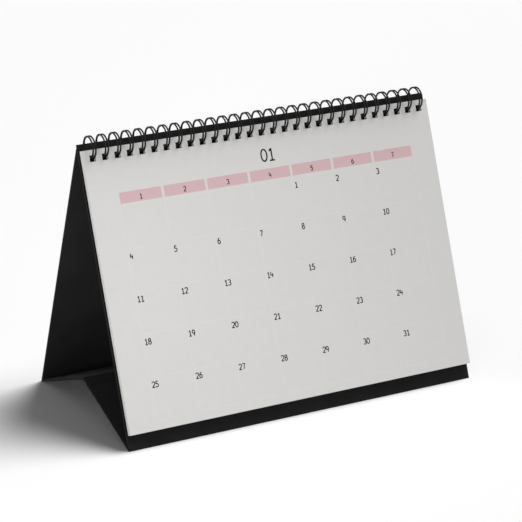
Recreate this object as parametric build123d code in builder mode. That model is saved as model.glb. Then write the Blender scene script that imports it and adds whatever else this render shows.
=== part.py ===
import os
from math import acos, atan2, cos, degrees, hypot, pi, radians, sin, sqrt, tan

from build123d import *

# Leaves: one sheet for each month, about A5 landscape
page_width = 210.0
page_height = 149.0
leaf_count = 12
leaf_thickness = 0.2
leaf_gap = 0.022
leaf_drop = 3.8
leaf_standoff = 1.5

# Stand boards
board_margin = 0.3
board_length = 161.3
board_thickness = 1.3
half_angle = radians(20.27)
top_gap = 0.3
closed_gap = 0.25

# Raised base: two boards that meet at a ridge and hinge near the feet
ridge_height = 22.1
ridge_setback = 7.2
ridge_bend = 7.5
hinge_height = 1.5
hinge_gap = 0.4
crease_gap = 0.1
fold_angle = radians(34.5)

# Twin-loop binding wire: as many loops as the leaf's width takes
loop_spacing = 7.1
loop_margin = 5.4
ring_radius = 5.9
ring_drop = 2.45
ring_standoff = 2.41
wire_diameter = 0.9
leg_spacing = 1.55
base_bend = 0.9
base_clearance = 0.33
tip_gap = 0.46
end_stub = 1.2

# Punched holes
hole_width = 3.5
hole_height = 3.4
slot_clearance = 0.17
overrun = 2.0

os.makedirs("parts", exist_ok=True)

# The upright section: slopes, apex and the places worked out from them
slope_sin = sin(half_angle)
slope_cos = cos(half_angle)
board_width = page_width + 2 * board_margin
wire_radius = wire_diameter / 2
leaf_pitch = leaf_thickness + leaf_gap
stack_front = leaf_standoff + leaf_count * leaf_pitch - leaf_gap
leaf_bottom = leaf_drop + page_height
loop_count = int((page_width - 2 * loop_margin) / loop_spacing) + 1
foot_reach = board_length * slope_sin
front_reach = max(foot_reach, leaf_bottom * slope_sin + stack_front * slope_cos)
apex_y = (front_reach - foot_reach) / 2
apex_z = board_length * slope_cos


def front_point(down, out):
    """A point of the front board's section: down from its top edge, out from its face."""
    y = apex_y - down * slope_sin - out * slope_cos
    return y, apex_z - down * slope_cos + out * slope_sin


def back_point(down, out):
    """The same for the back board, which leans the other way."""
    y = apex_y + down * slope_sin + out * slope_cos
    return y, apex_z - down * slope_cos + out * slope_sin


def prism(points):
    """Extrude a closed outline of the section across the stand's width."""
    with BuildPart() as piece:
        with BuildSketch(Plane.YZ):
            with BuildLine():
                Polyline(*points, close=True)
            make_face()
        extrude(amount=board_width / 2, both=True)
    return piece.part


def save(solid, name):
    solid.label = name
    export_step(solid, f"parts/{name}.step")


front_plane = Plane((0, apex_y, apex_z), x_dir=(1, 0, 0), z_dir=(0, -slope_cos, slope_sin))
back_plane = Plane((0, apex_y, apex_z), x_dir=(-1, 0, 0), z_dir=(0, slope_cos, slope_sin))
foot_width = board_thickness / slope_cos

# Front board, cut flat where it stands on the table
ring_cut = sqrt(ring_radius**2 - (ring_standoff + board_thickness / 2) ** 2)
front_hole_drop = ring_drop + ring_cut

with BuildPart() as front_board:
    front_foot_y = front_point(board_length, 0)[0]
    add(prism([
        front_point(0, 0),
        (front_foot_y, 0),
        (front_foot_y + foot_width, 0),
        front_point(0, -board_thickness),
    ]))
    with BuildSketch(front_plane):
        with Locations((0, -front_hole_drop)):
            with GridLocations(loop_spacing, loop_spacing, loop_count, 1):
                Rectangle(hole_width, hole_height)
    extrude(amount=board_thickness + overrun, both=True, mode=Mode.SUBTRACT)
save(front_board.part, "front_board")

# Back board: it turns about a line on its outer face, so that it closes behind the front board
opening = 2 * half_angle
back_top_outer = (board_thickness + top_gap) / sin(opening)
back_top_inner = (board_thickness * (1 + cos(opening)) + top_gap) / sin(opening)
pivot_drop = (2 * board_thickness + closed_gap) / sin(opening)


def ring_in_back_board(turn, depth, radius):
    """How far down the back board a ring of this radius crosses it, after the board has turned."""
    pivot_y, pivot_z = back_point(pivot_drop, 0)
    ring_y, ring_z = front_point(ring_drop, ring_standoff)
    y = pivot_y + (ring_y - pivot_y) * cos(turn) - (ring_z - pivot_z) * sin(turn)
    z = pivot_z + (ring_y - pivot_y) * sin(turn) + (ring_z - pivot_z) * cos(turn)
    down = (y - apex_y) * slope_sin + (apex_z - z) * slope_cos
    out = (y - apex_y) * slope_cos - (apex_z - z) * slope_sin
    return down + sqrt(radius**2 - (out + depth) ** 2)


slot_top = ring_in_back_board(0, 0, ring_radius - wire_radius) - slot_clearance
slot_bottom = ring_in_back_board(fold_angle, board_thickness, ring_radius + wire_radius) + slot_clearance
slot_height = slot_bottom - slot_top

with BuildPart() as back_board:
    back_foot_y = back_point(board_length, 0)[0]
    add(prism([
        back_point(back_top_outer, 0),
        (back_foot_y, 0),
        (back_foot_y - foot_width, 0),
        back_point(back_top_inner, -board_thickness),
    ]))
    with BuildSketch(back_plane):
        with Locations((0, -(slot_top + slot_height / 2))):
            with GridLocations(loop_spacing, loop_spacing, loop_count, 1):
                Rectangle(hole_width, slot_height)
    extrude(amount=board_thickness + overrun, both=True, mode=Mode.SUBTRACT)
save(back_board.part, "back_board")

# Base boards, from a hinge line on each upright board's inner face towards the ridge
hinge_reach = foot_reach - foot_width - hinge_height * tan(half_angle)
base_slope = atan2(ridge_height - hinge_height, hinge_reach)
base_run = hypot(ridge_height - hinge_height, hinge_reach)
base_end = base_run - ridge_setback


def base_point(side, along, under):
    """A point of a base board's section: along it from its hinge line, under its top face."""
    y = apex_y + side * (hinge_reach - along * cos(base_slope) - under * sin(base_slope))
    return y, hinge_height + along * sin(base_slope) - under * cos(base_slope)


def base_board(side):
    return prism([
        base_point(side, hinge_gap, 0),
        base_point(side, base_end, 0),
        base_point(side, base_end, board_thickness),
        base_point(side, hinge_gap, board_thickness),
    ])


def foot_crease(side):
    """The wrap's fold at a foot, between the upright board and the end of the base board."""
    hinge_y, hinge_z = base_point(side, 0, 0)
    foot_y = apex_y + side * (foot_reach - foot_width)
    end_y, end_z = base_point(side, hinge_gap, board_thickness)
    return prism([
        (hinge_y - side * crease_gap, hinge_z),
        (foot_y - side * crease_gap, crease_gap),
        (end_y + side * crease_gap, end_z),
    ])


front_side = -1
rear_side = 1
save(base_board(front_side), "base_front_board")
save(base_board(rear_side), "base_rear_board")
save(foot_crease(front_side), "front_crease")
save(foot_crease(rear_side), "rear_crease")

# Ridge crease: it runs on from both base boards, and bends between them at the ridge
ridge_centre = ridge_height - ridge_bend / cos(base_slope)
bend_start = base_run - ridge_bend * tan(base_slope)
crease_start = base_end + crease_gap


def ridge_top(radius):
    return apex_y, ridge_centre + radius


with BuildPart() as ridge_crease:
    with BuildSketch(Plane.YZ):
        with BuildLine():
            for under in (0, board_thickness):
                front_bend = base_point(front_side, bend_start, under)
                rear_bend = base_point(rear_side, bend_start, under)
                Line(base_point(front_side, crease_start, under), front_bend)
                ThreePointArc(front_bend, ridge_top(ridge_bend - under), rear_bend)
                Line(rear_bend, base_point(rear_side, crease_start, under))
            for side in (front_side, rear_side):
                Line(base_point(side, crease_start, 0), base_point(side, crease_start, board_thickness))
        make_face()
    extrude(amount=board_width / 2, both=True)
save(ridge_crease.part, "ridge_crease")

# Leaves, numbered from the front; their holes ride on the rings
stack_middle = (leaf_standoff + stack_front) / 2 - ring_standoff
leaf_hole_drop = ring_drop + sqrt(ring_radius**2 - stack_middle**2)

for number in range(1, leaf_count + 1):
    leaf_back = stack_front - leaf_thickness - (number - 1) * leaf_pitch
    with BuildPart() as leaf:
        with BuildSketch(front_plane.offset(leaf_back)):
            with Locations((0, -(leaf_drop + page_height / 2))):
                Rectangle(page_width, page_height)
            with Locations((0, -leaf_hole_drop)):
                with GridLocations(loop_spacing, loop_spacing, loop_count, 1):
                    Rectangle(hole_width, hole_height, mode=Mode.SUBTRACT)
        extrude(amount=leaf_thickness)
    save(leaf.part, f"leaf_{number:02d}")

# Binding wire: one length of wire, bent to twin loops. Its seam lies behind the rearmost leaf,
# and angles run round the ring from straight out of the front board, downwards.
seam_angle = acos((leaf_standoff - ring_standoff) / ring_radius)
base_place = wire_radius + base_clearance
hairpin_radius = leg_spacing / 2
tip_reach = sqrt((hairpin_radius + base_bend + wire_diameter + tip_gap) ** 2 - leg_spacing**2)
tip_place = base_place + base_bend - tip_reach
leg_start = seam_angle + (base_place + base_bend) / ring_radius
leg_end = 2 * pi + seam_angle + tip_place / ring_radius
out_direction = Vector(0, -slope_cos, slope_sin)
up_direction = Vector(0, slope_sin, slope_cos)
across = Vector(1, 0, 0)
ring_centre = Vector(0, *front_point(ring_drop, ring_standoff))


def on_ring(x, angle):
    spoke = out_direction * cos(angle) - up_direction * sin(angle)
    return ring_centre + across * x + spoke * ring_radius


def along_ring(angle):
    return out_direction * -sin(angle) - up_direction * cos(angle)


def leg(x, start, end):
    """A leg follows the ring in two equal arcs."""
    quarter = (end - start) / 4
    for first in (start, start + 2 * quarter):
        ThreePointArc(on_ring(x, first), on_ring(x, first + quarter), on_ring(x, first + 2 * quarter))


def base_corner(x, side):
    """The bend between a leg and the base run beside it: its end on the run, and its middle."""
    corner = on_ring(x, leg_start) + across * (side * base_bend)
    diagonal = (across * -side - along_ring(leg_start)) * (base_bend / sqrt(2))
    return corner - along_ring(leg_start) * base_bend, corner + diagonal


with BuildPart() as binding_wire:
    with BuildLine() as wire_path:
        run_from = None
        for number in range(loop_count):
            middle = (number - (loop_count - 1) / 2) * loop_spacing
            left = middle - hairpin_radius
            right = middle + hairpin_radius
            left_run, left_bend = base_corner(left, -1)
            right_run, right_bend = base_corner(right, 1)
            Line(run_from or left_run - across * end_stub, left_run)
            ThreePointArc(left_run, left_bend, on_ring(left, leg_start))
            leg(left, leg_start, leg_end)
            hairpin = on_ring(middle, leg_end) + along_ring(leg_end) * hairpin_radius
            ThreePointArc(on_ring(left, leg_end), hairpin, on_ring(right, leg_end))
            leg(right, leg_end, leg_start)
            ThreePointArc(on_ring(right, leg_start), right_bend, right_run)
            run_from = right_run
        Line(run_from, run_from + across * end_stub)
    with BuildSketch(Plane(wire_path.line @ 0, z_dir=wire_path.line % 0)):
        Circle(wire_radius)
    sweep(path=wire_path.wires()[0])
save(binding_wire.part, "binding_wire")

# The wire's least gap to itself, on points of the first loops, which all the others repeat
measured_edges = 20
points_per_edge = 24
walked = 0
trace = []
for edge in wire_path.wires()[0].edges()[:measured_edges]:
    for step in range(points_per_edge):
        share = step / points_per_edge
        trace.append((walked + share * edge.length, edge @ share))
    walked += edge.length
bend_run = pi * hairpin_radius
nearest = min(
    (first - second).length
    for at_first, first in trace
    for at_second, second in trace
    if at_second - at_first > bend_run
)
wire_length = wire_path.wires()[0].length
wire_volume = pi * wire_radius**2 * wire_length
print("wire length", round(wire_length, 1), "least gap to itself", round(nearest - wire_diameter, 3))
print("wire volume over section times length", round(binding_wire.part.volume / wire_volume, 5))
print("ring centre", ring_centre)
print("back board pivot", back_point(pivot_drop, 0))
print("base hinges", base_point(front_side, 0, 0), base_point(rear_side, 0, 0))
print("base fold angle", degrees(pi / 2 - half_angle - base_slope))
print("feet", front_foot_y + foot_width / 2, back_foot_y - foot_width / 2)
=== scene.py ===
from math import cos, hypot, pi, radians, sin, sqrt, tan

import bmesh
import bpy
import numpy as np
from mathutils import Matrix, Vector


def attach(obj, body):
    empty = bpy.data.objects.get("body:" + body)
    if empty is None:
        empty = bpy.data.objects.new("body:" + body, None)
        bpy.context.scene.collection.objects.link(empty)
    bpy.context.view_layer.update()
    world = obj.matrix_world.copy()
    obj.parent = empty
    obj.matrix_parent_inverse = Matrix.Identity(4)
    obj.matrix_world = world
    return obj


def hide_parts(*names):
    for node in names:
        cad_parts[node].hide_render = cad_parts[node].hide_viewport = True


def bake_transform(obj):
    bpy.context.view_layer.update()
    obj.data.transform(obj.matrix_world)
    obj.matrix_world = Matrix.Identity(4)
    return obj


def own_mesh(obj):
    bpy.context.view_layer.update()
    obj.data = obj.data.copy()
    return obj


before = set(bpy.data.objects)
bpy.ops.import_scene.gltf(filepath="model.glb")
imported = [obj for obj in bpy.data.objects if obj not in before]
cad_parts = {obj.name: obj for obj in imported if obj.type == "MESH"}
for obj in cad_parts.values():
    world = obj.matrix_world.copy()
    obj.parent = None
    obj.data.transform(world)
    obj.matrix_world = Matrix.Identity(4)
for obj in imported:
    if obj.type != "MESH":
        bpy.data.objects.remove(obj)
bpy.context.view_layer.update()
scene = bpy.context.scene
scene.view_settings.view_transform = "Standard"
mm = 0.001

# The stand's section in millimetres, the same values as the solids have
stand = dict(width=210.6, boardLength=161.3, boardThick=1.3, halfAngle=radians(20.27), leafDrop=3.8,
             leafHeight=149.0, leafThick=0.2, leafPitch=0.222, leafStandoff=1.5, leaves=12)
slopeSin, slopeCos = sin(stand["halfAngle"]), cos(stand["halfAngle"])
# how far the first leaf's face stands out from the front board's
stackFront = stand["leafStandoff"] + (stand["leaves"] - 1) * stand["leafPitch"] + stand["leafThick"]
footReach = stand["boardLength"] * slopeSin
# the origin is midway between the first leaf's lower edge and the back board's foot
apexY = ((stand["leafDrop"] + stand["leafHeight"]) * slopeSin + stackFront * slopeCos - footReach) / 2
apexZ = stand["boardLength"] * slopeCos
outward = np.array([0, -slopeCos, slopeSin])
downward = np.array([0, -slopeSin, -slopeCos])
across = np.array([1.0, 0, 0])
apex = np.array([0, apexY, apexZ])


def onPanel(x, down, out):
    # across the front board, down it from its top edge, and out from its face
    x, down, out = np.broadcast_arrays(*(np.asarray(v, float)[..., None] for v in (x, down, out)))
    return apex + across * x + downward * down + outward * out


def linear(hexColour):
    # sRGB hex to linear: a straight toe, then a power of 2.4
    srgb = np.array([int(hexColour[i:i + 2], 16) for i in (1, 3, 5)]) / 255
    low, high = srgb / 12.92, ((srgb + 0.055) / 1.055) ** 2.4
    return (*np.where(srgb <= 0.04045, low, high).tolist(), 1.0)


def feed(tree, node, inputs):
    # an input takes a link from another node's output, or else a plain value
    for key, value in inputs.items():
        if isinstance(value, bpy.types.NodeSocket):
            tree.links.new(value, node.inputs[key])
        else:
            node.inputs[key].default_value = value


def addNode(tree, kind, inputs=None, **settings):
    node = tree.nodes.new(kind)
    for key, value in settings.items():
        setattr(node, key, value)
    feed(tree, node, inputs or {})
    return node


def newMaterial(name):
    material = bpy.data.materials.new(name)
    material.use_nodes = True
    tree = material.node_tree
    return material, tree, tree.nodes["Principled BSDF"]


def tubeFaces(rows, columns):
    # quads between rows of points, each row a closed outline, and the first and last rows as end caps
    row, column = np.meshgrid(np.arange(rows - 1), np.arange(columns), indexing="ij")
    following = (column + 1) % columns
    quads = [row * columns + column, row * columns + following,
             (row + 1) * columns + following, (row + 1) * columns + column]
    outline = np.arange(columns)
    ends = [outline.tolist(), ((rows - 1) * columns + outline[::-1]).tolist()]
    return np.stack(quads, -1).reshape(-1, 4).tolist() + ends


def makePiece(name, points, faces, material, body=None, smooth=False):
    mesh = bpy.data.meshes.new(name)
    mesh.from_pydata((np.asarray(points).reshape(-1, 3) * mm).tolist(), [], faces)
    mesh.materials.append(material)
    mesh.polygons.foreach_set("use_smooth", np.full(len(mesh.polygons), smooth))
    piece = bpy.data.objects.new(name, mesh)
    scene.collection.objects.link(piece)
    if body:
        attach(piece, body)
    return piece


def faceOutwards(piece):
    work = bmesh.new()
    work.from_mesh(piece.data)
    bmesh.ops.recalc_face_normals(work, faces=work.faces)
    work.to_mesh(piece.data)
    work.free()


# Wrapped greyboard: dyed black cover paper, laid and pressed, with a dull fibre grain, and a painted
# highlight in patches along the side edges.
# The inner faces get a lighter copy of the cover, painted fill light for the tent's shaded inside, and the
# rear half of the base a paler one still, painted light on its top.
# Sizes are in millimetres, and a pair is the low and the high end of a range.
wrap = dict(cover=("#1d1d1d", "#252525"), innerLitCover=("#2e2e2e", "#373737"), baseTopLitWrap=("#525252", "#5c5c5c"),
            sideHighlight="#2e2e2d", roughness=(0.72, 0.86), specular=0.06, ior=1.5,
            fibre=0.9, fibreDetail=4.0, cloud=14.0, cloudDetail=3.0, mottle=(0.12, 0.42),
            grainDepth=0.02, grainStrength=0.5, highlightWidth=0.3, highlightFull=0.1, highlightPatch=5.0, highlightDetail=3.0)


def wrapMaterial(name, colours):
    material, tree, shader = newMaterial(name)
    place = addNode(tree, "ShaderNodeTexCoord").outputs["Object"]
    # paper fibres are near 0.1 mm wide; 0.9 mm is as coarse as they need to be to show
    fibre = addNode(tree, "ShaderNodeTexNoise", {
        "Vector": place, "Scale": 1 / (wrap["fibre"] * mm), "Detail": wrap["fibreDetail"]})
    cloud = addNode(tree, "ShaderNodeTexNoise", {
        "Vector": place, "Scale": 1 / (wrap["cloud"] * mm), "Detail": wrap["cloudDetail"]})
    mottle = addNode(tree, "ShaderNodeMath", {
        0: fibre.outputs["Fac"], 1: cloud.outputs["Fac"]}, operation="MULTIPLY")
    spread = addNode(tree, "ShaderNodeMapRange", {
        "Value": mottle.outputs[0], "From Min": wrap["mottle"][0], "From Max": wrap["mottle"][1]})
    paper = addNode(tree, "ShaderNodeMix", {
        "Factor": spread.outputs["Result"], "A": linear(colours[0]), "B": linear(colours[1])},
        data_type="RGBA")
    # the side edges carry a painted highlight: a lighter colour over a narrow band at each side edge, in
    # patches
    split = addNode(tree, "ShaderNodeSeparateXYZ", {"Vector": place})
    side = addNode(tree, "ShaderNodeMath", {0: split.outputs["X"]}, operation="ABSOLUTE")
    edge = stand["width"] / 2
    near = addNode(tree, "ShaderNodeMapRange", {
        "Value": side.outputs[0], "From Min": (edge - wrap["highlightWidth"]) * mm,
        "From Max": (edge - wrap["highlightFull"]) * mm})
    patch = addNode(tree, "ShaderNodeTexNoise", {
        "Vector": place, "Scale": 1 / (wrap["highlightPatch"] * mm), "Detail": wrap["highlightDetail"]})
    patchy = addNode(tree, "ShaderNodeMath", {
        0: near.outputs["Result"], 1: patch.outputs["Fac"]}, operation="MULTIPLY")
    colour = addNode(tree, "ShaderNodeMix", {
        "Factor": patchy.outputs[0], "A": paper.outputs["Result"], "B": linear(wrap["sideHighlight"])},
        data_type="RGBA")
    rough = addNode(tree, "ShaderNodeMapRange", {
        "Value": fibre.outputs["Fac"], "To Min": wrap["roughness"][0], "To Max": wrap["roughness"][1]})
    bump = addNode(tree, "ShaderNodeBump", {
        "Height": fibre.outputs["Fac"], "Strength": wrap["grainStrength"],
        "Distance": wrap["grainDepth"] * mm})
    feed(tree, shader, {
        "Base Color": colour.outputs["Result"], "Roughness": rough.outputs["Result"],
        "Normal": bump.outputs["Normal"], "Specular IOR Level": wrap["specular"], "IOR": wrap["ior"]})
    return material


boardWrap = wrapMaterial("wrappedGreyboard", wrap["cover"])
# lighter copies of the cover: painted fill light on the inner faces, and paler still on the rear half of the
# base, painted light on its top
innerLitWrap = wrapMaterial("innerPaintedLight", wrap["innerLitCover"])
baseTopLitWrap = wrapMaterial("baseTopPaintedLight", wrap["baseTopLitWrap"])

# Uncoated offset paper: bright and matte, with a faint cloudy formation when lit. The cut edges are painted
# near white, a painted highlight on the side of the leaf stack.
sheet = dict(face=("#d9d8d6", "#d7d6d4"), cut=("#f6f5f3", "#efeeec"), roughness=(0.87, 0.97), specular=0.1,
             formation=4.0, formationDetail=5.0, cloudiness=(0.3, 0.7),
             tooth=0.7, toothDetail=3.0, toothDepth=0.01, toothStrength=0.3)


def paperMaterial(name, colours):
    material, tree, shader = newMaterial(name)
    place = addNode(tree, "ShaderNodeTexCoord").outputs["Object"]
    formation = addNode(tree, "ShaderNodeTexNoise", {
        "Vector": place, "Scale": 1 / (sheet["formation"] * mm), "Detail": sheet["formationDetail"]})
    # the tooth of the paper is finer than a tenth of a millimetre; 0.7 mm is drawn so that it shows
    tooth = addNode(tree, "ShaderNodeTexNoise", {
        "Vector": place, "Scale": 1 / (sheet["tooth"] * mm), "Detail": sheet["toothDetail"]})
    spread = addNode(tree, "ShaderNodeMapRange", {
        "Value": formation.outputs["Fac"],
        "From Min": sheet["cloudiness"][0], "From Max": sheet["cloudiness"][1]})
    colour = addNode(tree, "ShaderNodeMix", {
        "Factor": spread.outputs["Result"], "A": linear(colours[0]), "B": linear(colours[1])},
        data_type="RGBA")
    rough = addNode(tree, "ShaderNodeMapRange", {
        "Value": tooth.outputs["Fac"], "To Min": sheet["roughness"][0], "To Max": sheet["roughness"][1]})
    bump = addNode(tree, "ShaderNodeBump", {
        "Height": tooth.outputs["Fac"], "Strength": sheet["toothStrength"],
        "Distance": sheet["toothDepth"] * mm})
    feed(tree, shader, {
        "Base Color": colour.outputs["Result"], "Roughness": rough.outputs["Result"],
        "Normal": bump.outputs["Normal"], "Specular IOR Level": sheet["specular"]})
    return material


leafPaper = paperMaterial("uncoatedPaper", sheet["face"])
leafEdgeHighlight = paperMaterial("cutPaperEdge", sheet["cut"])

# Offset ink on uncoated paper: it sinks in, so it is as matte as the sheet and a little uneven
inks = dict(bar=("#d7b8ba", "#d3b3b5"), figure=("#0e0e0e", "#161615"), rule=("#dcdbd9", "#dbdad8"),
            roughness=(0.8, 0.95), mottle=0.8, mottleDetail=4.0, unevenness=(0.35, 0.65))


def inkMaterial(name, colours):
    material, tree, shader = newMaterial(name)
    place = addNode(tree, "ShaderNodeTexCoord").outputs["Object"]
    mottle = addNode(tree, "ShaderNodeTexNoise", {
        "Vector": place, "Scale": 1 / (inks["mottle"] * mm), "Detail": inks["mottleDetail"]})
    spread = addNode(tree, "ShaderNodeMapRange", {
        "Value": mottle.outputs["Fac"], "From Min": inks["unevenness"][0], "From Max": inks["unevenness"][1]})
    colour = addNode(tree, "ShaderNodeMix", {
        "Factor": spread.outputs["Result"], "A": linear(colours[0]), "B": linear(colours[1])},
        data_type="RGBA")
    rough = addNode(tree, "ShaderNodeMapRange", {
        "Value": mottle.outputs["Fac"], "To Min": inks["roughness"][0], "To Max": inks["roughness"][1]})
    feed(tree, shader, {
        "Base Color": colour.outputs["Result"], "Roughness": rough.outputs["Result"],
        "Specular IOR Level": sheet["specular"]})
    return material


barInk = inkMaterial("rosePrintInk", inks["bar"])
figureInk = inkMaterial("blackPrintInk", inks["figure"])
ruleInk = inkMaterial("palePrintInk", inks["rule"])

# Nylon-coated steel wire: a thin dipped black skin, smooth with a soft sheen
coat = dict(colour="#09090a", patchy="#101011", roughness=(0.34, 0.52), specular=0.16, ior=1.53,
            dipSpots=1.6, dipDetail=4.0, wear=(0.4, 0.75), skinDepth=0.01, skinStrength=0.15)


def wireMaterial():
    material, tree, shader = newMaterial("nylonCoatedWire")
    place = addNode(tree, "ShaderNodeTexCoord").outputs["Object"]
    dip = addNode(tree, "ShaderNodeTexNoise", {
        "Vector": place, "Scale": 1 / (coat["dipSpots"] * mm), "Detail": coat["dipDetail"]})
    spread = addNode(tree, "ShaderNodeMapRange", {
        "Value": dip.outputs["Fac"], "From Min": coat["wear"][0], "From Max": coat["wear"][1]})
    colour = addNode(tree, "ShaderNodeMix", {
        "Factor": spread.outputs["Result"], "A": linear(coat["colour"]), "B": linear(coat["patchy"])},
        data_type="RGBA")
    rough = addNode(tree, "ShaderNodeMapRange", {
        "Value": dip.outputs["Fac"], "To Min": coat["roughness"][0], "To Max": coat["roughness"][1]})
    bump = addNode(tree, "ShaderNodeBump", {
        "Height": dip.outputs["Fac"], "Strength": coat["skinStrength"],
        "Distance": coat["skinDepth"] * mm})
    feed(tree, shader, {
        "Base Color": colour.outputs["Result"], "Roughness": rough.outputs["Result"],
        "Normal": bump.outputs["Normal"], "Specular IOR Level": coat["specular"], "IOR": coat["ior"]})
    return material


wireCoat = wireMaterial()
print("materials made")

# Raised base: hinge lines on the uprights' inner faces, and a ridge bent over a small radius. The wrap's
# folds at the feet sag a little.
base = dict(ridgeHeight=22.1, setback=7.2, bend=7.5, hingeHeight=1.5, hingeGap=0.4, seam=0.04, stations=27,
            underSag=0.12, endSag=0.03, sagSteps=7, blendHeight=0.8)
footWide = stand["boardThick"] / slopeCos
hingeReach = footReach - footWide - base["hingeHeight"] * tan(stand["halfAngle"])
rise = base["ridgeHeight"] - base["hingeHeight"]
baseRun = hypot(rise, hingeReach)
baseSin, baseCos = rise / baseRun, hingeReach / baseRun
baseSlope = np.arctan2(rise, hingeReach)

# Boards: the wrap is drawn tight round the board, so each edge is softly rounded. Each board has its body,
# its edge's rounding, the direction that its inner face looks in, and that face's material, a lighter copy of
# the cover as painted fill light.
boards = dict(front_board=("front", 0.3, (0, slopeCos, -slopeSin), innerLitWrap),
              back_board=("back", 0.3, (0, -slopeCos, -slopeSin), innerLitWrap),
              base_front_board=("base_front", 0.22, (0, -baseSin, baseCos), innerLitWrap),
              base_rear_board=("base_rear", 0.22, (0, baseSin, baseCos), baseTopLitWrap))
# weld in millimetres, angles in degrees, and how nearly a face has to look inwards to get the lighter cover
# of painted fill light
boardEdge = dict(weld=0.001, flatWithin=1.0, roundPast=40.0, segments=3, litCoverPast=0.95)


def wrappedBoard(node, body, edgeRound, inner, innerLitCover):
    # the solid's triangles are welded and its flat faces made whole, so that only true edges are rounded
    work = bmesh.new()
    work.from_mesh(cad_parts[node].data)
    bmesh.ops.remove_doubles(work, verts=work.verts, dist=boardEdge["weld"] * mm)
    flat = radians(boardEdge["flatWithin"])
    bmesh.ops.dissolve_limit(work, angle_limit=flat, verts=work.verts, edges=work.edges)
    mesh = bpy.data.meshes.new("wrapped_" + node)
    work.to_mesh(mesh)
    work.free()
    mesh.materials.clear()
    mesh.materials.append(boardWrap)
    mesh.materials.append(innerLitCover)
    # inner faces take the lighter cover: painted fill light for the shaded inside of the tent
    for face in mesh.polygons:
        face.material_index = int(face.normal.dot(Vector(inner)) > boardEdge["litCoverPast"])
    piece = bpy.data.objects.new("wrapped_" + node, mesh)
    scene.collection.objects.link(piece)
    edge = piece.modifiers.new("softEdge", "BEVEL")
    edge.width = edgeRound * mm
    edge.segments = boardEdge["segments"]
    edge.material = 0
    edge.limit_method = "ANGLE"
    edge.angle_limit = radians(boardEdge["roundPast"])
    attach(piece, body)
    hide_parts(node)


for node, board in boards.items():
    wrappedBoard(node, *board)
print("boards wrapped")


def carryAcross(section):
    # a closed outline in y and z, carried from side to side
    y, z = np.asarray(section, float).T
    x = np.linspace(-stand["width"] / 2, stand["width"] / 2, base["stations"])
    x, y = np.meshgrid(x, y, indexing="ij")
    return np.stack([x, y, np.broadcast_to(z, y.shape)], -1)


def basePoint(side, along, under):
    # along a base board from its hinge line, and under its top face
    return np.array([apexY + side * (hingeReach - along * baseCos - under * baseSin),
                     base["hingeHeight"] + along * baseSin - under * baseCos])


def closedStrip(name, section, material):
    points = carryAcross(section)
    piece = makePiece(name, points, tubeFaces(*points.shape[:2]), material)
    faceOutwards(piece)
    return piece


def bowed(start, end, sag):
    # a line from start to end that bows to its left by sag times 4t(1-t)
    t = np.linspace(0, 1, base["sagSteps"])[:-1, None]
    start, end = np.array(start), np.array(end)
    run = end - start
    left = np.array([-run[1], run[0]]) / np.hypot(*run)
    return start + run * t + left * (sag * 4 * t * (1 - t))


def footFold(name, node, side):
    # the fold of the wrap: down the upright board, under to the base board in a slack bow, and up its end
    hingeY = apexY + side * hingeReach
    footY = apexY + side * (footReach - footWide)
    endY, endZ = basePoint(side, base["hingeGap"], stand["boardThick"])
    top = (hingeY - side * base["seam"], base["hingeHeight"])
    foot = (footY - side * base["seam"], base["seam"])
    end = (endY + side * base["seam"], endZ)
    section = np.concatenate([bowed(top, foot, 0), bowed(foot, end, -side * base["underSag"]),
                              bowed(end, top, -side * base["endSag"])])
    piece = closedStrip(name, section, boardWrap)
    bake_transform(piece)
    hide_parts(node)


footFold("front_fold", "front_crease", -1)
footFold("rear_fold", "rear_crease", 1)

# Ridge: it runs on from both base boards in line with their faces, and bends over between them. Its top has
# the lighter inner cover of painted fill light, and its rear slope the rear half's paler painted light. It
# moves with the front half of the base.
ridgeBend = dict(runSteps=5, bendSteps=17, litCoverPast=0.5, rearPast=0.05, closing=radians(15), keep=0.06)
baseEnd = baseRun - base["setback"]
bendStart = baseRun - base["bend"] * tan(baseSlope)
ridgeCentre = base["ridgeHeight"] - base["bend"] / baseCos


def ridgeLine(under):
    # a straight run up the front half, an arc about the ridge's centre, and a straight run down the rear half
    up = np.linspace(baseEnd + base["seam"], bendStart, ridgeBend["runSteps"])[:-1]
    angles = np.linspace(-baseSlope, baseSlope, ridgeBend["bendSteps"])
    radius = base["bend"] - under
    bend = np.stack([apexY + radius * np.sin(angles), ridgeCentre + radius * np.cos(angles)], -1)
    return np.concatenate([basePoint(-1, up, under).T, bend, basePoint(1, up[::-1], under).T])


ridgeSection = np.concatenate([ridgeLine(0), ridgeLine(stand["boardThick"])[::-1]])
ridge = closedStrip("ridge_fold", ridgeSection, boardWrap)
ridge.data.materials.append(innerLitWrap)
ridge.data.materials.append(baseTopLitWrap)
# the ridge's top takes the lighter cover of painted fill light, its rear slope the paler painted light of the
# rear half
for face in ridge.data.polygons:
    if face.normal.z >= ridgeBend["litCoverPast"]:
        face.material_index = 2 if face.normal.y > ridgeBend["rearPast"] else 1
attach(ridge, "base_front")
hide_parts("ridge_crease")
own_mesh(ridge)
print("base folds made")

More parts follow.
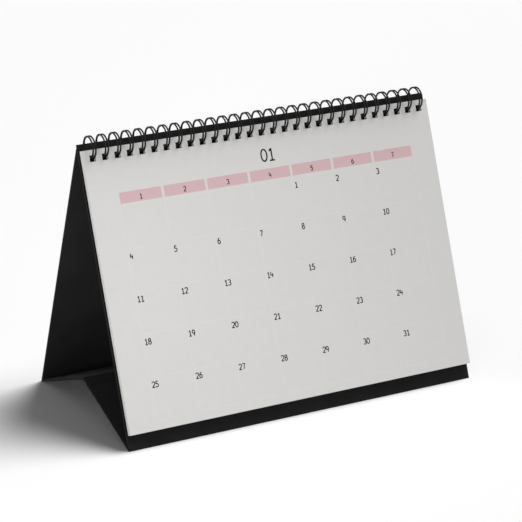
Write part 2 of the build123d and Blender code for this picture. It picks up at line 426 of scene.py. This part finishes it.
# Binding wire: one wire bent to twin loops, hairpins at the tips and short base runs between the loops.
# Behind the boards a loop is a little deeper than round, and its legs close up, the right one further back.
# They part again over the top. Each pair of angles, in degrees round the ring, is where such a change starts
# and ends.
wire = dict(loops=29, pitch=7.1, ringRadius=5.9, ringDrop=2.45, ringOut=2.41, diameter=0.9, legSpacing=1.55,
            backSpacing=0.7, closing=(188, 209), parting=(225, 290),
            backStep=0.8, stepping=(186, 206), settling=(222, 270),
            deeper=1.2, deepening=(172, 206), easing=(232, 300),
            baseBend=0.9, baseClear=0.33, tipGap=0.46, endStub=1.2,
            sides=12, legSteps=81, bendSteps=7, tipSteps=11)
wireRadius = wire["diameter"] / 2
hairpin = wire["legSpacing"] / 2
seamAngle = np.arccos((stand["leafStandoff"] - wire["ringOut"]) / wire["ringRadius"])
basePlace = wireRadius + wire["baseClear"]
tipSpan = hairpin + wire["baseBend"] + wire["diameter"] + wire["tipGap"]
tipReach = sqrt(tipSpan ** 2 - wire["legSpacing"] ** 2)
legStart = seamAngle + (basePlace + wire["baseBend"]) / wire["ringRadius"]
legEnd = 2 * pi + seamAngle + (basePlace + wire["baseBend"] - tipReach) / wire["ringRadius"]
ringCentre = onPanel(0, wire["ringDrop"], wire["ringOut"])


def spoke(angle):
    # from the ring's centre: cos a out from the board, and sin a down it
    return np.cos(angle)[..., None] * outward + np.sin(angle)[..., None] * downward


def roundRing(angle):
    # the way that a spoke's end moves as its angle grows
    return -np.sin(angle)[..., None] * outward + np.cos(angle)[..., None] * downward


def smoothStep(angle, span):
    # from 0 to 1 across a span of degrees, level at both ends: 3t^2 - 2t^3
    t = np.clip((np.degrees(angle) - span[0]) / (span[1] - span[0]), 0, 1)
    return (t * t * (3 - 2 * t))[:, None]


def oneLoop():
    # the centreline of a loop about x = 0, with the ring's spoke at each point as the tube's own up direction
    legAngle = np.linspace(legStart, legEnd, wire["legSteps"])
    quarter = np.linspace(0, pi / 2, wire["bendSteps"])[:, None]
    tip = np.linspace(0, pi, wire["tipSteps"])[:, None]
    atBase = np.full(wire["bendSteps"], legStart)
    atTip = np.full(wire["tipSteps"], legEnd)
    bend = wire["baseBend"]

    def corner(side):
        # a quarter circle in the plane that touches the ring where the leg starts
        middle = wire["ringRadius"] * spoke(atBase) + across * (side * (hairpin + bend))
        return middle - across * (side * bend) * np.cos(quarter) - roundRing(atBase) * bend * np.sin(quarter)

    closed = smoothStep(legAngle, wire["closing"]) - smoothStep(legAngle, wire["parting"])
    apart = across * (hairpin + (wire["backSpacing"] / 2 - hairpin) * closed)
    stepped = smoothStep(legAngle, wire["stepping"]) - smoothStep(legAngle, wire["settling"])
    further = spoke(legAngle) * (wire["backStep"] / 2 * stepped)
    deep = smoothStep(legAngle, wire["deepening"]) - smoothStep(legAngle, wire["easing"])
    legs = wire["ringRadius"] * spoke(legAngle) - outward * (wire["deeper"] * deep)
    # the hairpin is half a circle in the plane that touches the ring where the legs end
    top = (wire["ringRadius"] * spoke(atTip) - across * hairpin * np.cos(tip)
           + roundRing(atTip) * hairpin * np.sin(tip))
    line = np.concatenate([corner(-1)[::-1], (legs - apart - further)[1:], top[1:-1],
                           (legs + apart + further)[::-1], corner(1)[1:]])
    lift = np.concatenate([spoke(atBase), spoke(legAngle)[1:], spoke(atTip)[1:-1],
                           spoke(legAngle)[::-1], spoke(atBase)[1:]])
    return line, lift


def bindingWire():
    line, lift = oneLoop()
    places = (np.arange(wire["loops"]) - (wire["loops"] - 1) / 2) * wire["pitch"]
    centre = (line + across * places[:, None, None]).reshape(-1, 3)
    up = np.tile(lift, (wire["loops"], 1))
    stub = across * wire["endStub"]
    centre = ringCentre + np.concatenate([centre[:1] - stub, centre, centre[-1:] + stub])
    up = np.concatenate([up[:1], up, up[-1:]])
    along = np.gradient(centre, axis=0)
    along[0], along[-1] = across, across
    along /= np.linalg.norm(along, axis=1, keepdims=True)
    beside = np.cross(along, up)
    beside /= np.linalg.norm(beside, axis=1, keepdims=True)
    up = np.cross(beside, along)
    # tube: centre + radius (cos a up + sin a beside)
    a = np.linspace(0, 2 * pi, wire["sides"], endpoint=False)[:, None]
    points = centre[:, None] + wireRadius * (np.cos(a) * up[:, None] + np.sin(a) * beside[:, None])
    faces = tubeFaces(*points.shape[:2])
    piece = makePiece("twin_loop_wire", points, faces, wireCoat, "front", True)
    faceOutwards(piece)
    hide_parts("binding_wire")
    return len(faces)


print("wire bent,", bindingWire(), "faces")

# Leaves keep their cut and punched shape; a face that looks sideways is a cut edge, painted near white as a
# highlight
sideways = 0.9
for number in range(1, stand["leaves"] + 1):
    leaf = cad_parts[f"leaf_{number:02d}"].data
    leaf.materials.clear()
    leaf.materials.append(leafPaper)
    leaf.materials.append(leafEdgeHighlight)
    for face in leaf.polygons:
        face.material_index = int(abs(face.normal.x) > sideways)

# Print of a leaf, in millimetres from the leaf's middle and down from its top edge. Strokes, and a figure's
# width and step, are parts of its height. A film of ink is sunk in the paper below and proud above, and a
# print that lies over another is a step higher.
layout = dict(columns=7, rows=5, left=-88.2, pitch=25.68, firstRow=35.25, rowPitch=22.55,
              barWide=24.2, barTop=24.2, barTall=5.9, ruleTop=31.2, ruleWide=0.45,
              figureTall=2.95, figureWide=0.54, figureStep=0.7, figureInset=0.2, stroke=0.18,
              weekTall=2.5, weekDown=0.5, titleTall=6.4, titleStroke=0.13, titleMiddle=1.4, titleDown=16.9)
film = dict(sunk=-0.004, proud=0.008, step=0.006)
penSteps = 6


def arc(cx, cy, rx, ry, start, end, steps=15):
    # part of an ellipse, by angle in degrees
    a = np.radians(np.linspace(start, end, steps))
    return np.stack([cx + rx * np.cos(a), cy + ry * np.sin(a)], -1)


def pen(*corners):
    # straight pen runs from corner to corner, each in a few steps, so that a band turns within one step
    corners = np.array(corners, float)
    runs = len(corners) - 1
    t = np.linspace(0, runs, penSteps * runs + 1)
    return np.stack([np.interp(t, np.arange(runs + 1), corners[:, i]) for i in (0, 1)], -1)


# Figures as pen strokes in a box one unit tall, from its lower left corner
wide = layout["figureWide"]
figures = {
    "0": [arc(wide / 2, 0.5, wide / 2, 0.5, 90, 450, 25)],
    "1": [pen((0.1, 0.78), (0.3, 1), (0.3, 0)), pen((0.06, 0), (wide, 0))],
    "2": [np.concatenate([arc(wide / 2, 0.74, wide / 2, 0.26, 165, -25, 12),
                          pen((0.44, 0.52), (0.02, 0), (wide, 0))])],
    "3": [arc(0.24, 0.75, 0.24, 0.25, 150, -90), arc(0.24, 0.25, 0.28, 0.25, 90, -150)],
    "4": [pen((0.12, 1), (0.02, 0.4), (wide, 0.4)), pen((0.42, 0.72), (0.38, 0))],
    "5": [np.concatenate([pen((0.48, 1), (0.1, 1), (0.06, 0.56)),
                          arc(0.22, 0.3, 0.28, 0.31, 115, -150, 14)])],
    "6": [np.concatenate([arc(0.5, 0.34, 0.46, 0.66, 100, 180, 9), arc(0.27, 0.3, 0.25, 0.3, 190, 540, 20)])],
    "7": [pen((0.02, 1), (0.5, 1), (0.2, 0))],
    "8": [arc(wide / 2, 0.76, 0.2, 0.24, 270, 630, 21), arc(wide / 2, 0.26, 0.26, 0.26, 90, 450, 21)],
    "9": [np.concatenate([arc(0.25, 0.7, 0.24, 0.3, 10, 370, 20), pen((0.5, 0.66), (0.36, 0))])],
}


def filmBands(lines, width):
    # each pen line in x and down becomes a thin closed band of ink, half its width to each side of the line
    points, faces = [], []
    count = 0
    for line in lines:
        along = np.gradient(line, axis=0)
        along /= np.maximum(np.linalg.norm(along, axis=1, keepdims=True), 1e-9)
        side = np.stack([-along[:, 1], along[:, 0]], -1) * (width / 2)
        left, right = line + side, line - side
        low = np.full((len(line), 1), film["sunk"])
        high = np.full((len(line), 1), film["proud"])
        corners = [(left, low), (right, low), (right, high), (left, high)]
        band = np.stack([np.hstack(corner) for corner in corners], 1)
        faces.append(np.array(tubeFaces(*band.shape[:2])) + count)
        points.append(band.reshape(-1, 3))
        count += len(points[-1])
    return np.concatenate(points), np.concatenate(faces)


def numberLines(text, left, middleDown, tall):
    lines = []
    for place, figure in enumerate(text):
        for line in figures[figure]:
            x = left + tall * (line[:, 0] + place * layout["figureStep"])
            lines.append(np.stack([x, middleDown + tall * (0.5 - line[:, 1])], -1))
    return lines


def numberWide(text, tall):
    return tall * ((len(text) - 1) * layout["figureStep"] + layout["figureWide"])


columnLeft = layout["left"] + layout["pitch"] * np.arange(layout["columns"])
barMiddle = layout["barTop"] + layout["barTall"] / 2


def dayLines(first, days):
    # days fill the weeks row by row; a sixth week starts again in the first row's empty cells
    lines = []
    for day in range(1, days + 1):
        week, column = divmod(first + day - 1, layout["columns"])
        down = layout["firstRow"] + week % layout["rows"] * layout["rowPitch"]
        lines += numberLines(str(day), columnLeft[column] + layout["figureInset"], down, layout["figureTall"])
    return lines


def columnLines():
    # each column's number, in the middle of its bar
    lines = []
    for number, left in enumerate(columnLeft, 1):
        inset = (layout["barWide"] - numberWide(str(number), layout["weekTall"])) / 2
        lines += numberLines(str(number), left + inset, barMiddle + layout["weekDown"], layout["weekTall"])
    return lines


def titleLines(text):
    left = layout["titleMiddle"] - numberWide(text, layout["titleTall"]) / 2
    return numberLines(text, left, layout["titleDown"], layout["titleTall"])


def onLeaf(number, flat):
    # print points in x, down and height become places on that leaf's front face
    out = stackFront - (number - 1) * stand["leafPitch"]
    return onPanel(flat[:, 0], stand["leafDrop"] + flat[:, 1], out + flat[:, 2])


def printPiece(kind, number, lines, width, material, layers=0):
    # a print over another one lies that many films higher
    flat, faces = filmBands(lines, width)
    flat[:, 2] += layers * film["step"]
    place = onLeaf(number, flat)
    piece = makePiece(f"{kind}_{number:02d}", place, faces.tolist(), material, f"leaf_{number:02d}")
    faceOutwards(piece)


bars = [np.array([[left, barMiddle], [left + layout["barWide"], barMiddle]]) for left in columnLeft]
ruleDown = layout["ruleTop"] + layout["rowPitch"] * np.arange(layout["rows"] + 1)
ruleLeft = layout["left"] - (layout["pitch"] - layout["barWide"]) / 2
ruleAcross = ruleLeft + layout["pitch"] * np.arange(layout["columns"] + 1)
rules = [np.array([[ruleAcross[0], down], [ruleAcross[-1], down]]) for down in ruleDown]
rules += [np.array([[x, ruleDown[0]], [x, ruleDown[-1]]]) for x in ruleAcross]
columnNumbers = columnLines()
figureStroke = layout["stroke"] * layout["figureTall"]
weekStroke = layout["stroke"] * layout["weekTall"]
titleStroke = layout["titleStroke"] * layout["titleTall"]
monthDays = [31, 28, 31, 30, 31, 30, 31, 31, 30, 31, 30, 31]
firstDay = 4  # the column, from 0, that the first month starts in
for number, days in enumerate(monthDays, 1):
    printPiece("bars", number, bars, layout["barTall"], barInk)
    printPiece("rules", number, rules, layout["ruleWide"], ruleInk)
    printPiece("days", number, dayLines(firstDay, days), figureStroke, figureInk)
    printPiece("title", number, titleLines(f"{number:02d}"), titleStroke, figureInk)
    printPiece("week", number, columnNumbers, weekStroke, figureInk, 1)
    firstDay = (firstDay + days) % layout["columns"]
print("leaves printed")

# Studio: a floor in matte white paint, which shows a soft shadow and no reflection, a broad key light high on
# the right, and a narrow lamp low on the left. Sizes and places are in metres, angles in degrees.
studio = dict(floorWide=8.0, floorColours=("#f8f8f8", "#f7f7f7"), floorGrain=0.3, floorDetail=2.0,
              floorRoughness=0.9, floorSpecular=0.1, worldColour="#ffffff", worldLight=0.135, worldShown=1.0,
              keyLevel=1.045, keySpread=40.0, keyTurn=12.6, keyRise=59.0,
              sideLevel=0.27, sideAt=(-0.75, -0.75, 0.3), sideAim=(-0.1, -0.025, 0.088), sideCone=19.0,
              sideBlend=1.0, sideSize=0.1)
floorMaterial, floorTree, floorShader = newMaterial("paintedStudioFloor")
floorPlace = addNode(floorTree, "ShaderNodeTexCoord").outputs["Object"]
floorGrain = addNode(floorTree, "ShaderNodeTexNoise", {
    "Vector": floorPlace, "Scale": 1 / studio["floorGrain"], "Detail": studio["floorDetail"]})
floorColour = addNode(floorTree, "ShaderNodeMix", {
    "Factor": floorGrain.outputs["Fac"], "A": linear(studio["floorColours"][0]),
    "B": linear(studio["floorColours"][1])}, data_type="RGBA")
feed(floorTree, floorShader, {
    "Base Color": floorColour.outputs["Result"], "Roughness": studio["floorRoughness"],
    "Specular IOR Level": studio["floorSpecular"]})
floorHalf = studio["floorWide"] / 2 / mm
floorCorners = np.array([[-1, -1, 0], [1, -1, 0], [1, 1, 0], [-1, 1, 0]]) * floorHalf
floor = makePiece("floor", floorCorners, [[0, 1, 2, 3]], floorMaterial)

# the world is white to the eye and in reflections, and gives the object only a little light
world = bpy.data.worlds.new("studioWorld")
scene.world = world
world.use_nodes = True
worldTree = world.node_tree
worldTree.nodes.clear()
path = addNode(worldTree, "ShaderNodeLightPath")
seen = addNode(worldTree, "ShaderNodeMath", {
    0: path.outputs["Is Camera Ray"], 1: path.outputs["Is Glossy Ray"]}, operation="MAXIMUM")
shown = addNode(worldTree, "ShaderNodeMath", {
    0: seen.outputs[0], 1: path.outputs["Is Transmission Ray"]}, operation="MAXIMUM")
strength = addNode(worldTree, "ShaderNodeMapRange", {
    "Value": shown.outputs[0], "To Min": studio["worldLight"], "To Max": studio["worldShown"]})
light = addNode(worldTree, "ShaderNodeBackground", {
    "Color": linear(studio["worldColour"]), "Strength": strength.outputs["Result"]})
addNode(worldTree, "ShaderNodeOutputWorld", {"Surface": light.outputs[0]})


def placeLamp(name, kind, place, toward, energy):
    lamp = bpy.data.lights.new(name, kind)
    lamp.energy = energy
    holder = bpy.data.objects.new(name, lamp)
    holder.location = place
    holder.rotation_euler = toward.to_track_quat("-Z", "Y").to_euler()
    scene.collection.objects.link(holder)
    return lamp


# a level is how bright a white face turned to the light becomes: times pi for a far light, and times
# four pi squared and the distance squared for a lamp
keyTurn, keyRise = radians(studio["keyTurn"]), radians(studio["keyRise"])
keyWay = Vector((cos(keyRise) * cos(keyTurn), -cos(keyRise) * sin(keyTurn), sin(keyRise)))
keyLight = placeLamp("keyLight", "SUN", keyWay, -keyWay, studio["keyLevel"] * pi)
keyLight.angle = radians(studio["keySpread"])
sidePlace = Vector(studio["sideAt"])
sideWay = Vector(studio["sideAim"]) - sidePlace
sideEnergy = studio["sideLevel"] * 4 * pi ** 2 * sideWay.length_squared
sideLamp = placeLamp("sideLamp", "SPOT", sidePlace, sideWay, sideEnergy)
sideLamp.spot_size = radians(studio["sideCone"])
sideLamp.spot_blend = studio["sideBlend"]
sideLamp.shadow_soft_size = studio["sideSize"]

# Camera fitted to the edges of the stand and the leaf: focal and frame in pixels, away and target in
# millimetres, clip in metres
view = dict(turn=radians(-28.922), rise=radians(19.336), away=1315.4, focal=2398.6, frame=522, sensor=36.0,
            target=(3.475, 0.470, 69.297), clip=(0.01, 100))
camera = bpy.data.cameras.new("camera")
camera.sensor_width = view["sensor"]
camera.lens = view["focal"] / view["frame"] * view["sensor"]
camera.clip_start, camera.clip_end = view["clip"]
viewFlat = cos(view["rise"])
viewBack = Vector((sin(view["turn"]) * viewFlat, -cos(view["turn"]) * viewFlat, sin(view["rise"])))
cameraHolder = bpy.data.objects.new("camera", camera)
cameraHolder.location = (Vector(view["target"]) + viewBack * view["away"]) * mm
cameraHolder.rotation_euler = viewBack.to_track_quat("Z", "Y").to_euler()
scene.collection.objects.link(cameraHolder)
scene.camera = cameraHolder
print("studio and camera set")
